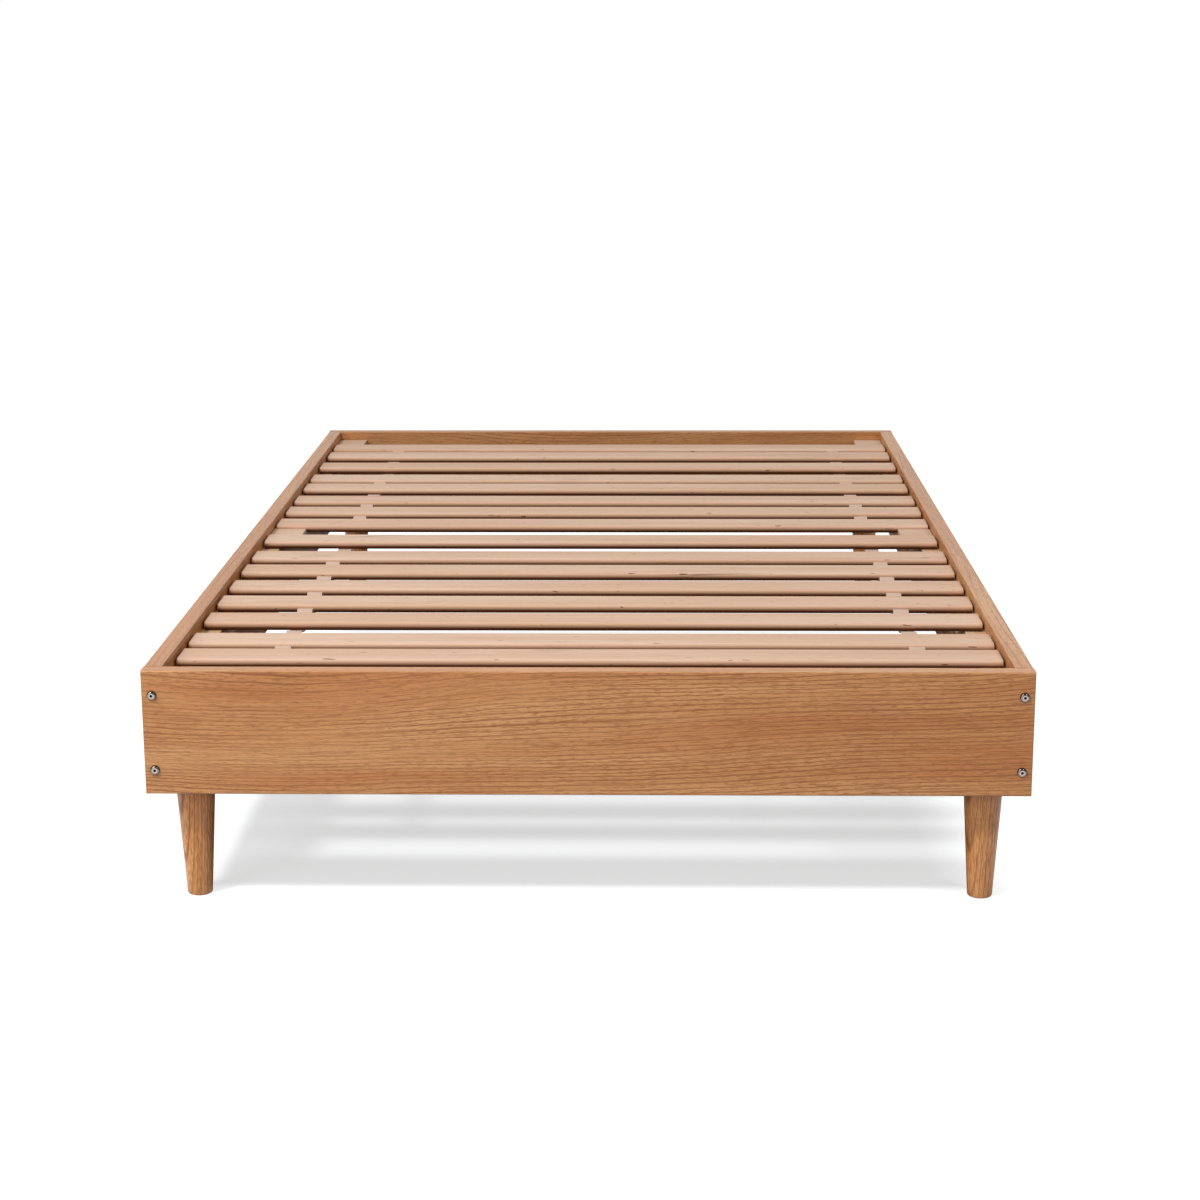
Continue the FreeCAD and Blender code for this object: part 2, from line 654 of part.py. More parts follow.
def build():
    """Make every piece of the bed."""
    fill_sheet()
    for name, expression in DERIVED:
        derive(name, expression)
    derive_slat_places()
    for end in ENDS:
        end_panel(end)
    for side in SIDES:
        side_rail(side)
        ledger(side)
    for end in ENDS:
        for side in SIDES:
            corner_block(side, end)
            leg(side, end)
    leg_fixings()
    frame_fasteners()
    wood_screws()
    for number in range(1, SLAT_COUNT + 1):
        slat(number)
        slat_tapes(number)
    stop_blocks("head", "head_margin", "half_inner_length - head_margin / 2")
    stop_blocks("middle", "middle_gap", "(slat_08_place + slat_09_place) / 2")
    doc.recompute()


def check():
    """Stop if an object failed to build or a piece is empty or broken."""
    for thing in doc.Objects:
        if {"Invalid", "Error"} & set(thing.State):
            raise RuntimeError(f"{thing.Label} failed: {thing.State}")
    for piece in pieces:
        if piece.Shape.isNull() or not piece.Shape.isValid() or not piece.Shape.Solids:
            raise RuntimeError(f"{piece.Label} is empty or broken")


def write():
    """Write each piece to its own file."""
    os.makedirs("parts", exist_ok=True)
    for piece in pieces:
        piece.Shape.exportStep(f"parts/{piece.Label}.step")


build()
check()
write()
print(f"{len(pieces)} pieces, {sum(len(piece.Shape.Solids) for piece in pieces)} solids")
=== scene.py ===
# Looks of a bed base: grained oak, slats on woven tapes, steel fasteners and a studio stage.

import json
import math

import bmesh
import bpy
from bpy.props import FloatProperty, FloatVectorProperty, PointerProperty
from bpy.types import Operator, Panel, PropertyGroup
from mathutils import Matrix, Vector


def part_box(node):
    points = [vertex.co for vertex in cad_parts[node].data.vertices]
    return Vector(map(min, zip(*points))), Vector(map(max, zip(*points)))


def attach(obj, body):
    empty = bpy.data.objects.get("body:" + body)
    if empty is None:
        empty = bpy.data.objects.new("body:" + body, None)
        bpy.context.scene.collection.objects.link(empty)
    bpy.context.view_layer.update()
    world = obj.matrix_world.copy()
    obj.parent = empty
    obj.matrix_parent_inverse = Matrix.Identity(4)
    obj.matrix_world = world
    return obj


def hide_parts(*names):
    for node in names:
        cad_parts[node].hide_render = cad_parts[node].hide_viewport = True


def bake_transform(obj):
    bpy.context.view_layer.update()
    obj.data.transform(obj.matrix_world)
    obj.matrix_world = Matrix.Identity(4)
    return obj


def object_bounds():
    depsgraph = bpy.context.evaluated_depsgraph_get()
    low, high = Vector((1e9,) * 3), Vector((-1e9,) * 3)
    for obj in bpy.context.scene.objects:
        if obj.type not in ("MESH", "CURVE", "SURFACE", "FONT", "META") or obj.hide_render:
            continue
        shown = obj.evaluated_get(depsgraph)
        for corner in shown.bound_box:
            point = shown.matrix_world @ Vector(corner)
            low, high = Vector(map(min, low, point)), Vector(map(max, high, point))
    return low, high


bl_info = {
    "name": "Bed base",
    "version": (1, 0, 0),
    "blender": (4, 5, 0),
    "location": "View3D > Sidebar > Bed base",
    "description": "Dresses a bed base: oak boards and legs, slat mats on tapes, fasteners and a stage",
    "category": "Object",
}

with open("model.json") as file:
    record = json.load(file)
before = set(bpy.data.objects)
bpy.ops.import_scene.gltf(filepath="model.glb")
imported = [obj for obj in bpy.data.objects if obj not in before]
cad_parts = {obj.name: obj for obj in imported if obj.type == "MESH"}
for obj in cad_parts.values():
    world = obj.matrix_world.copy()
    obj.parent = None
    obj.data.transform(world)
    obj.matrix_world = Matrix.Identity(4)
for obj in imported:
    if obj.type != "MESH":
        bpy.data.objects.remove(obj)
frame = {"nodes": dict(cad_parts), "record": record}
CAD_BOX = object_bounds()
BODIES = frame["record"]["behaviour"]["bodies"]
BODY_OF = {node: body for body, nodes in BODIES.items() for node in nodes}

# The bed's axes: across it, along it and up
X, Y, Z = range(3)

# Slats are numbered from the head end, and a gap has the number of the slat on its head side
MATS = (range(1, 9), range(9, 17))
FIRST_SLATS = [mat[0] for mat in MATS]
LAST_SLATS = [mat[-1] for mat in MATS]
GAPS = [number for mat in MATS for number in mat[:-1]]


# Settings

def colour(name, description, default):
    """Colour setting, in linear light."""
    return FloatVectorProperty(
        name=name, description=description, default=default, subtype="COLOR", min=0, max=1)


def length(name, description, default):
    """Length setting, in metres."""
    return FloatProperty(
        name=name, description=description, default=default, unit="LENGTH", precision=5)


def share(name, description, default):
    """Setting from none to all."""
    return FloatProperty(
        name=name, description=description, default=default, subtype="FACTOR", min=0, max=1)


def watts(name, description, default):
    """Power of a lamp, in watts."""
    return FloatProperty(name=name, description=description, default=default, min=0)


class OakFinish(PropertyGroup):
    """Lacquered honey oak of the boards and legs."""
    light: colour("Light", "Smooth late wood", (0.65, 0.322, 0.126))
    deep: colour("Deep", "Redder stretches of the board", (0.515, 0.2, 0.059))
    line: colour("Line", "Growth lines and pores", (0.27, 0.083, 0.017))
    mark: colour("Mark", "Small dark marks", (0.10, 0.04, 0.015))
    ring: length("Ring spacing", "Distance between growth lines", 0.0051)
    wander: length("Wander", "How far the lines stray from straight", 0.135)
    line_share: share("Lines", "Strength of the growth lines", 0.9)
    streak_share: share("Streaks", "Strength of the fine dark streaks", 0.45)
    pore_share: share("Pores", "Strength of the open pores", 0.95)
    mark_share: share("Marks", "Strength of small dark marks", 0.0)
    # Wear pales the boards' top and bottom faces and a thin band next to them, partly wear and partly
    # painted highlight
    wear_share: share("Wear", "How much paler the rubbed edges are", 0.18)
    roughness: share("Roughness", "Roughness of the lacquer", 0.4)
    gloss: share("Gloss", "Strength of the reflections", 0.55)


class SlatFinish(PropertyGroup):
    """Planed, unfinished wood of the slats and stop blocks."""
    light: colour("Light", "Pale wood", (0.735, 0.532, 0.403))
    deep: colour("Deep", "Pinker stretches", (0.655, 0.43, 0.30))
    line: colour("Line", "Growth lines", (0.36, 0.19, 0.105))
    mark: colour("Mark", "Small dark marks", (0.11, 0.055, 0.028))
    # Turn, Edge and their strengths are painted shade on the slats' sides and ends: warmer, darker wood
    # over the rounding and near-black low down
    turn: colour("Turn", "Warmer wood on the rounded long edges", (0.6, 0.34, 0.2))
    edge: colour("Edge", "Grime low on the long edges", (0.092, 0.02, 0.002))
    turn_share: share("Turns", "Strength of the warmer rounded edges", 0.85)
    edge_share: share("Edges", "Strength of the grime low on the long edges", 0.97)
    ring: length("Ring spacing", "Distance between growth lines", 0.006)
    wander: length("Wander", "How far the lines stray from straight", 0.03)
    line_share: share("Lines", "Strength of the growth lines", 0.2)
    streak_share: share("Streaks", "Strength of the short dark streaks", 0.2)
    pore_share: share("Pores", "Strength of the fine pores", 0.2)
    mark_share: share("Marks", "Strength of small dark marks", 0.95)
    roughness: share("Roughness", "Roughness of the planed wood", 0.6)
    gloss: share("Gloss", "Strength of the reflections", 0.12)


class TimberFinish(PropertyGroup):
    """Sawn timber of the ledgers, corner blocks and dowels."""
    light: colour("Light", "Pale wood", (0.70, 0.50, 0.30))
    deep: colour("Deep", "Darker stretches", (0.60, 0.39, 0.20))
    line: colour("Line", "Growth lines", (0.42, 0.22, 0.09))
    mark: colour("Mark", "Small dark marks", (0.16, 0.08, 0.035))
    ring: length("Ring spacing", "Distance between growth lines", 0.005)
    wander: length("Wander", "How far the lines stray from straight", 0.02)
    line_share: share("Lines", "Strength of the growth lines", 0.4)
    streak_share: share("Streaks", "Strength of the short dark streaks", 0.2)
    pore_share: share("Pores", "Strength of the saw marks", 0.25)
    mark_share: share("Marks", "Strength of small dark marks", 0.3)
    roughness: share("Roughness", "Roughness of the sawn wood", 0.75)
    gloss: share("Gloss", "Strength of the reflections", 0.2)


class TapeFinish(PropertyGroup):
    """Woven tape that joins the slats."""
    yarn: colour("Yarn", "Yarn on top", (0.68, 0.495, 0.39))
    shadow: colour("Shadow", "Between the yarns", (0.48, 0.32, 0.24))
    width: length("Width", "Tape width", 0.024)
    pitch: length("Pitch", "Distance between yarns", 0.0012)
    sag: length("Sag", "How far the tape hangs down in the widest gap", 0.001)
    rise: length("Rise", "How far the tape stands up at most in a narrow gap", 0.0133)
    slack: share("Slack", "How much of a narrow gap's missing length goes into standing up", 0.8)


class SteelFinish(PropertyGroup):
    """Zinc-plated steel of the fasteners."""
    tint: colour("Tint", "Reflection colour", (0.33, 0.28, 0.245))
    # Socket is painted shade inside the bolts' sockets, and the next colour is painted shade round the
    # edge of their heads
    socket: colour("Socket", "Inside of the bolts' sockets", (0.03, 0.025, 0.02))
    grime: colour("Painted shade", "Painted rim shade round the edge of the bolts' heads", (0.075, 0.05, 0.035))
    head: length("Head", "Radius of a bolt's head", 0.007)
    roughness: share("Roughness", "Roughness of the plating", 0.24)


class StapleSizes(PropertyGroup):
    """Wire staples that hold the tapes to the slats."""
    crown: length("Crown", "Width across the tape", 0.0105)
    wire: length("Wire", "Wire radius", 0.00055)
    leg: length("Leg", "Leg length in the wood", 0.006)
    spread: length("Spread", "From the slat's middle to each staple", 0.014)


class StageSettings(PropertyGroup):
    """Camera, lights and floor."""
    eye: FloatVectorProperty(
        name="Eye",
        description="Camera place",
        default=(0.0864, -4.241, 1.2304),
        unit="LENGTH",
        precision=4,
    )
    turn: FloatVectorProperty(
        name="Turn",
        description="Camera rotation",
        default=(1.334146, 0.003326, 0.02009),
        subtype="EULER",
        precision=5,
    )
    lens: FloatProperty(name="Lens", description="Focal length in millimetres", default=71.115)
    bright_fill: share("Bright fill", "Light from all around, from high on the left in front", 0.66)
    dim_fill: share("Dim fill", "The same from the other side", 0.22)
    left: watts("Left", "High lamp on the left in front, in watts", 158.0)
    right: watts("Right", "High lamp on the right in front, in watts", 50.0)
    side: watts("Side", "Low lamp on the left in front, in watts", 40.0)
    floor: colour("Floor", "Floor colour where it is seen", (0.46, 0.475, 0.485))
    bounce: share("Bounce", "Grey level of the floor for the light that it sends up", 0.22)
    shade: share("Shade", "The same under the bed", 0.03)
    # Glow under the bed is below the open glow around it: painted shade on the floor under the bed, on top
    # of its real shadow
    glow: share("Glow", "White that the floor adds under the bed", 0.545)
    open_glow: share("Open glow", "White that the floor adds around the bed", 0.85)
    dark_room: share("Dark room", "Level of the room behind the camera in reflections", 0.08)


class BedBaseSettings(PropertyGroup):
    """Everything that the bed base's operators read."""
    oak: PointerProperty(type=OakFinish, name="Oak", description="Boards and legs")
    slat: PointerProperty(type=SlatFinish, name="Slats", description="Slats and stop blocks")
    timber: PointerProperty(type=TimberFinish, name="Timber", description="Ledgers and corner blocks")
    tape: PointerProperty(type=TapeFinish, name="Tape", description="Tapes")
    steel: PointerProperty(type=SteelFinish, name="Steel", description="Fasteners")
    staple: PointerProperty(type=StapleSizes, name="Staples", description="Staples on the tapes")
    stage: PointerProperty(type=StageSettings, name="Stage", description="Camera, lights and floor")


# Node trees

class Wire:
    """A node's output, which Python sums turn into Math nodes."""

    def __init__(self, graph, socket):
        self.graph = graph
        self.socket = socket

    def __add__(self, other):
        return self.graph.maths("ADD", self, other)

    def __sub__(self, other):
        return self.graph.maths("SUBTRACT", self, other)

    def __rsub__(self, other):
        return self.graph.maths("SUBTRACT", other, self)

    def __mul__(self, other):
        return self.graph.maths("MULTIPLY", self, other)

    def __truediv__(self, other):
        return self.graph.maths("DIVIDE", self, other)

    def __gt__(self, other):
        return self.graph.maths("GREATER_THAN", self, other)

    def __abs__(self):
        return self.graph.maths("ABSOLUTE", self)

    __radd__ = __add__
    __rmul__ = __mul__


class Graph:
    """A node tree that is filled node by node."""

    def __init__(self, tree):
        self.tree = tree
        tree.nodes.clear()

    @staticmethod
    def pick(sockets, key):
        """Socket by its number, its identifier or its name."""
        if isinstance(key, int):
            return sockets[key]
        return next((socket for socket in sockets if socket.identifier == key), None) or sockets[key]

    def add(self, kind, settings=None, inputs=None, output=0):
        """Add a node: its settings first, then its inputs' values or links. Gives the chosen output."""
        node = self.tree.nodes.new(kind)
        for name, setting in (settings or {}).items():
            if name == "stops":
                self.set_stops(node.color_ramp.elements, setting)
            else:
                setattr(node, name, setting)
        for key, given in (inputs or {}).items():
            socket = self.pick(node.inputs, key)
            if isinstance(given, Wire):
                self.tree.links.new(given.socket, socket)
            else:
                socket.default_value = given
        return Wire(self, self.pick(node.outputs, output)) if node.outputs else None

    @staticmethod
    def set_stops(elements, stops):
        """Give a ramp its stops, each a place and a grey level."""
        while len(elements) < len(stops):
            elements.new(1)
        for element, (place, grey) in zip(elements, stops):
            element.position = place
            element.color = (grey, grey, grey, 1)

    def maths(self, operation, *terms):
        """Math node on numbers or wires."""
        return self.add("ShaderNodeMath", {"operation": operation}, dict(enumerate(terms)))

    def most(self, first, *others):
        """The greatest of some values."""
        for other in others:
            first = self.maths("MAXIMUM", first, other)
        return first

    def split(self, vector):
        """A vector's three parts."""
        first = self.add("ShaderNodeSeparateXYZ", None, {"Vector": vector})
        return [Wire(self, socket) for socket in first.socket.node.outputs]

    def ramp(self, wire, *stops):
        """Reshape a value by a ramp's stops."""
        return self.add("ShaderNodeValToRGB", {"stops": stops}, {"Fac": wire})

    def noise(self, vector, scale, detail, roughness=0.5):
        """Noise from 0 to 1 on coordinates that are stretched by a scale for each axis."""
        stretched = self.add("ShaderNodeMapping", None, {"Vector": vector, "Scale": scale})
        inputs = {"Vector": stretched, "Scale": 1.0, "Detail": detail, "Roughness": roughness}
        return self.add("ShaderNodeTexNoise", {"noise_dimensions": "3D"}, inputs, "Fac")

    def mix(self, factor, first, second):
        """Blend two colours."""
        inputs = {"Factor_Float": factor, "A_Color": first, "B_Color": second}
        return self.add("ShaderNodeMix", {"data_type": "RGBA"}, inputs, "Result_Color")

    def bump(self, height, strength, distance):
        """Fine relief, with its depth in metres."""
        inputs = {"Strength": strength, "Distance": distance, "Height": height}
        return self.add("ShaderNodeBump", None, inputs)


def new_material(name):
    """Empty material with its graph."""
    material = bpy.data.materials.new(name)
    material.use_nodes = True
    return material, Graph(material.node_tree)


def surface(graph, inputs):
    """End a material in one glossy shader."""
    shader = graph.add("ShaderNodeBsdfPrincipled", None, inputs)
    graph.add("ShaderNodeOutputMaterial", None, {"Surface": shader})


def opaque(tint):
    """Colour setting with its alpha."""
    return (*tint, 1)


# Woods

# Noises, each with its waves to the metre along and across the grain, its detail and its roughness
DRIFT = (1.1, 3.6, 1.0)
SWAY = (10.0, 30.0, 2.0)
PATCHES = (3.0, 24.0, 2.0)
STREAKS = (7.0, 680.0, 1.0)
PORES = (75.0, 780.0, 1.0)
FIBRES = (30.0, 1500.0, 2.0, 0.6)
ZONES = (0.9, 18.0, 3.0, 0.6)
SPOTS = (38.0, 270.0, 1.0)
REGIONS = (3.2, 9.0, 1.0)
SCORES = (9.0, 420.0, 1.0)

# Ramps, each stop a place and a level
RING_STOPS = ((0.0, 1.0), (0.12, 0.8), (0.24, 0.05), (0.9, 0.0), (0.97, 0.65), (1.0, 1.0))
PATCH_STOPS = ((0.34, 0.3), (0.62, 1.0))
STREAK_STOPS = ((0.5, 0.0), (0.62, 0.7), (0.68, 1.0))
PORE_STOPS = ((0.54, 0.0), (0.62, 1.0))
ZONE_STOPS = ((0.37, 0.0), (0.61, 1.0))
SPOT_STOPS = ((0.75, 0.0), (0.78, 1.0))
REGION_STOPS = ((0.64, 0.0), (0.72, 1.0))
SCORE_STOPS = ((0.62, 0.0), (0.67, 0.7))
# Paler top and bottom faces of a board and a thin band next to them, partly wear and partly painted
# highlight
WEAR_AND_HIGHLIGHT_STOPS = ((0.984, 0.0), (1.0, 1.0))
# Painted shade on a slat's sides and ends, by height from its bottom to its top: warmer, darker wood from
# the bottom up most of the rounding, and near-black low down, just above the bottom face
ROUNDING_SHADE_STOPS = ((0.3, 1.0), (0.7, 0.8), (0.99, 0.0))
LOW_SHADE_STOPS = ((0.0, 0.0), (0.05, 1.0), (0.36, 1.0), (0.48, 0.6), (0.6, 0.18), (0.8, 0.0))

# Shares of the lines' wander that go into small waves, and into the depth of the board
SWAY_SHARE = 0.025
DEPTH_SHARE = 0.5

# The growth lines' tilt up the face and into its depth, how often their spacing changes to the metre,
# and by how many spacings
RING_TILT = (0.82, 0.57)
RING_WAVES = 38.0
RING_CHANGE = 2.5

# Strength of the pores' colour, lowest level of the fibres' colour and what they add to it
PORE_TINT = 0.6
FIBRE_LEVEL = 0.85
FIBRE_GAIN = 0.3

# How uneven the paler edges are, and the power that makes them paler; they are partly wear and partly
# painted highlight
WEAR_AND_HIGHLIGHT_WANDER = 0.012
WEAR_AND_HIGHLIGHT_POWER = 0.7

# Relief, and what pores and fibres add to the roughness
FIBRE_RELIEF = 0.3
RING_RELIEF = 0.3
MARK_RELIEF = 0.4
WOOD_BUMP = (0.35, 0.0003)
PORE_ROUGHNESS = 0.12
FIBRE_ROUGHNESS = 0.1


class Grain:
    """Wood that grew along one axis: its coordinates, and the noises and growth lines on them."""

    def __init__(self, graph, along, wander, mirror):
        self.graph = graph
        self.along = along
        self.place = graph.add("ShaderNodeTexCoord", output="Object")
        if mirror:
            mirrored = {"Vector": self.place, "Scale": (-1.0, 1.0, 1.0)}
            self.place = graph.add("ShaderNodeMapping", None, mirrored)
        axes = graph.split(self.place)
        self.face = axes[X] if along == Z else axes[Z]
        depth = axes[X] if along == Y else axes[Y]
        drift = self.straight(*DRIFT) - 0.5
        sway = self.straight(*SWAY) - 0.5
        bend = drift * wander + sway * (wander * SWAY_SHARE)
        parts = {0: axes[along], 1: self.face + bend, 2: depth + bend * DEPTH_SHARE}
        self.flow = graph.add("ShaderNodeCombineXYZ", None, parts)
        self.height = self.face * RING_TILT[0] + depth * RING_TILT[1] + bend

    def straight(self, lengthwise, across, detail, roughness=0.5):
        """Noise that runs straight along the wood."""
        scale = [across, across, across]
        scale[self.along] = lengthwise
        return self.graph.noise(self.place, scale, detail, roughness)

    def flowing(self, lengthwise, across, detail, roughness=0.5):
        """Noise that follows the bent grain."""
        return self.graph.noise(self.flow, (lengthwise, across, across), detail, roughness)

    def rings(self, spacing):
        """Growth lines at uneven spacings."""
        level = self.graph.add("ShaderNodeCombineXYZ", None, {0: self.height})
        uneven = self.graph.noise(level, (RING_WAVES, 1.0, 1.0), 2.0)
        phase = self.graph.maths("FRACT", self.height / spacing + uneven * RING_CHANGE)
        return self.graph.ramp(phase, *RING_STOPS)

    def marks(self):
        """Small dark spots, and fine scores that gather in some regions."""
        spots = self.graph.ramp(self.straight(*SPOTS), *SPOT_STOPS)
        region = self.graph.ramp(self.straight(*REGIONS), *REGION_STOPS)
        scores = self.graph.ramp(self.straight(*SCORES), *SCORE_STOPS) * region
        return self.graph.most(spots, scores)


def rub_and_highlight(grain, finish, tone, fibre, heights):
    """Paler wood on a board's top and bottom faces and a thin band next to them: partly wear, partly
    painted highlight.
    """
    middle = sum(heights) / 2
    reach = (heights[1] - heights[0]) / 2
    edge = abs(grain.face - middle) / reach
    worn_and_lit = grain.graph.ramp(edge + fibre * WEAR_AND_HIGHLIGHT_WANDER, *WEAR_AND_HIGHLIGHT_STOPS) * finish.wear_share
    pale = [level ** WEAR_AND_HIGHLIGHT_POWER for level in finish.light]
    return grain.graph.mix(worn_and_lit, tone, opaque(pale))


def paint_edge_shade(grain, finish, tone, edges):
    """Painted shade on a slat's sides and ends: warmer, darker wood over most of the rounding, and
    near-black low down.
    """
    rise = (grain.face - edges[0]) / (edges[1] - edges[0])
    rounding_shade = grain.graph.ramp(rise, *ROUNDING_SHADE_STOPS) * finish.turn_share
    tone = grain.graph.mix(rounding_shade, tone, opaque(finish.turn))
    grime = grain.graph.ramp(rise, *LOW_SHADE_STOPS) * finish.edge_share
    return grain.graph.mix(grime, tone, opaque(finish.edge))


def wood(name, finish, along, heights=None, strength=1.0, edges=None, lift=1.0, stray=1.0, mirror=False):
    """Solid wood whose growth lines and pores run along one axis, also through its ends.

    Heights are a board's bottom and top, whose faces and a thin band next to them turn paler, partly wear
    and partly painted highlight; edges are the bottom and top of a slat, whose sides and ends get painted
    shade.
    Strength is that of the lines, lift that of the colour, and stray that of the lines' wander.
    """
    material, graph = new_material(name)
    grain = Grain(graph, along, finish.wander * stray, mirror)
    ring = grain.rings(finish.ring)
    patch = graph.ramp(grain.flowing(*PATCHES), *PATCH_STOPS)
    streaks = graph.ramp(grain.flowing(*STREAKS), *STREAK_STOPS)
    pores = graph.ramp(grain.flowing(*PORES), *PORE_STOPS) * (patch * 0.5 + 0.5)
    fibre = grain.flowing(*FIBRES)
    zone = graph.ramp(grain.flowing(*ZONES), *ZONE_STOPS)
    marks = grain.marks() * finish.mark_share

    tone = graph.mix(zone, opaque(finish.light), opaque(finish.deep))
    lines = (
        ring * patch * (finish.line_share * strength),
        streaks * (finish.streak_share * strength),
        pores * (finish.pore_share * PORE_TINT * strength),
    )
    for line in lines:
        tone = graph.mix(line, tone, opaque(finish.line))
    if heights:
        tone = rub_and_highlight(grain, finish, tone, fibre, heights)
    # Painted shade on a slat's sides and ends
    if edges:
        tone = paint_edge_shade(grain, finish, tone, edges)
    tone = graph.mix(marks, tone, opaque(finish.mark))
    level = fibre * (FIBRE_GAIN * lift) + FIBRE_LEVEL * lift
    shade = graph.add("ShaderNodeHueSaturation", None, {"Value": level, "Color": tone}, "Color")

    relief = fibre * FIBRE_RELIEF - pores * finish.pore_share
    relief = relief - ring * (RING_RELIEF * finish.line_share) - marks * MARK_RELIEF
    smooth = finish.roughness - FIBRE_ROUGHNESS / 2
    surface(graph, {
        "Base Color": shade,
        "Roughness": pores * PORE_ROUGHNESS + fibre * FIBRE_ROUGHNESS + smooth,
        "Specular IOR Level": finish.gloss,
        "Normal": graph.bump(relief, *WOOD_BUMP),
    })
    return material


def dress(nodes, material):
    """Give CAD nodes one material."""
    for node in nodes:
        for slot in frame["nodes"][node].material_slots:
            slot.material = material


def named(*endings):
    """CAD nodes whose names end in one of some endings."""
    return [node for node in frame["nodes"] if node.endswith(endings)]


class BEDBASE_OT_oak(Operator):
    """Give the boards and legs their oak, with the grain along each"""
    bl_idname = "bedbase.oak"
    bl_label = "Oak boards and legs"

    def execute(self, context):
        finish = context.scene.bed_base.oak
        heights = [corner.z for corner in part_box("foot_panel")]
        dress(["foot_panel"], wood("oak_foot", finish, X, heights, mirror=True))
        # The head panel's oak is a darker copy: painted shade for light that falls off towards the head
        dress(["head_panel"], wood("oak_head", finish, X, lift=0.9))
        dress(named("_rail"), wood("oak_rail", finish, Y, heights, lift=0.92, stray=0.45))
        # The legs' oak is a lighter copy: painted light that stands in for lamp light on the legs
        dress(named("_leg"), wood("oak_leg", finish, Z, strength=1.3, lift=1.25, stray=0.3))
        return {"FINISHED"}


class BEDBASE_OT_slats(Operator):
    """Give the slats and stop blocks their planed wood"""
    bl_idname = "bedbase.slats"
    bl_label = "Slats and stop blocks"

    def execute(self, context):
        slats = [node for node in frame["nodes"] if node.startswith("slat_")]
        finish = context.scene.bed_base.slat
        heights = [corner.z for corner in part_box(slats[0])]
        dress(slats, wood("slat_wood", finish, X, edges=heights))
        dress(named("_stop_blocks"), wood("block_wood", finish, X))
        return {"FINISHED"}


class BEDBASE_OT_timber(Operator):
    """Give the ledgers, corner blocks and dowels their sawn timber"""
    bl_idname = "bedbase.timber"
    bl_label = "Ledgers and corner blocks"

    def execute(self, context):
        finish = context.scene.bed_base.timber
        dress(named("_ledger", "_dowels"), wood("ledger_timber", finish, Y))
        dress(named("_corner_block"), wood("block_timber", finish, X))
        return {"FINISHED"}


# Steel

# Noises, each with its waves to the metre on each axis
CLOUDS = (160.0, 160.0, 160.0)
SCRATCHES = (4000.0, 500.0, 900.0)

# Ramps on the way from the middle of a bolt's head to its edge, each stop a place and a level
# A painted highlight ring round the socket, painted shade inside it, and a painted shade ring round the
# head's edge
HIGHLIGHT_RING_STOPS = ((0.3, 0.0), (0.38, 1.0), (0.5, 0.0))
SOCKET_SHADE_STOPS = ((0.27, 1.0), (0.33, 0.0))
RIM_SHADE_STOPS = ((0.68, 0.0), (0.92, 0.9))

# Level of dull spots, power that makes the painted highlight round a socket brighter, relief,
# and what clouds add to the roughness
DULL_LEVEL = 0.72
HIGHLIGHT_POWER = 0.5
STEEL_BUMP = (0.15, 0.0001)
CLOUD_ROUGHNESS = 0.2


def bolt_heads(graph, finish, place, tone, box):
    """Painted shade in the sockets with a painted highlight ring round them, and painted shade round the
    heads' edges, on bolts at the corners of a box.
    """
    across, _, up = graph.split(place)
    reach = [(high - low) / 2 - finish.head for low, high in zip(*box)]
    sideways = abs(across) - reach[X]
    upright = abs(up - (box[0].z + box[1].z) / 2) - reach[Z]
    radius = graph.maths("SQRT", sideways * sideways + upright * upright) / finish.head
    # Painted highlight: the steel's tint made brighter
    bright = [level ** HIGHLIGHT_POWER for level in finish.tint]
    for stops, tint in ((HIGHLIGHT_RING_STOPS, bright), (SOCKET_SHADE_STOPS, finish.socket), (RIM_SHADE_STOPS, finish.grime)):
        tone = graph.mix(graph.ramp(radius, *stops), tone, opaque(tint))
    return tone


def steel(name, finish, box=None):
    """Zinc-plated steel with faint scratches, and bolt heads with painted highlight and shade at the
    corners of a box if one is given.
    """
    material, graph = new_material(name)
    place = graph.add("ShaderNodeTexCoord", output="Object")
    cloud = graph.noise(place, CLOUDS, 3.0)
    scratch = graph.noise(place, SCRATCHES, 1.0)
    dull = [level * DULL_LEVEL for level in finish.tint]
    tone = graph.mix(cloud, opaque(dull), opaque(finish.tint))
    if box:
        tone = bolt_heads(graph, finish, place, tone, box)
    surface(graph, {
        "Base Color": tone,
        "Metallic": 1.0,
        "Roughness": cloud * CLOUD_ROUGHNESS + (finish.roughness - CLOUD_ROUGHNESS / 2),
        "Normal": graph.bump(scratch, *STEEL_BUMP),
    })
    return material


class BEDBASE_OT_fasteners(Operator):
    """Give the bolts, nuts, screws, studs and inserts their steel"""
    bl_idname = "bedbase.fasteners"
    bl_label = "Steel fasteners"

    def execute(self, context):
        finish = context.scene.bed_base.steel
        dress(named("_bolts"), steel("bolt_steel", finish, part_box("foot_frame_bolts")))
        dress(named("_nuts", "_screws", "_studs", "_inserts"), steel("zinc_steel", finish))
        return {"FINISHED"}


# Tapes and staples

# Yarn fuzz in waves to the metre, its share beside the weave, and the weave's relief
FUZZ = (2400.0, 2400.0, 1.0)
FUZZ_SHARE = 0.3
WEAVE_SHARE = 0.7
WEAVE_BUMP = (0.6, 0.0003)

# Outline of a tape: shares of its width from the left, and of half its thickness from the middle
TAPE_SECTION = (
    (0.0, 0.35), (0.02, 0.85), (0.06, 1.0), (0.94, 1.0), (0.98, 0.85), (1.0, 0.35),
    (1.0, -0.35), (0.98, -0.85), (0.94, -1.0), (0.06, -1.0), (0.02, -0.85), (0.0, -0.35),
)

# Sections of a tape under a slat and in a gap
SLAT_STEPS = 6
GAP_STEPS = 24

# A staple's corners, its bends' steps and their radius in wire radii, and the sides of its wire
STAPLE_CORNERS = 4
BEND_STEPS = 3
BEND_RADIUS = 1.6
WIRE_SIDES = 8


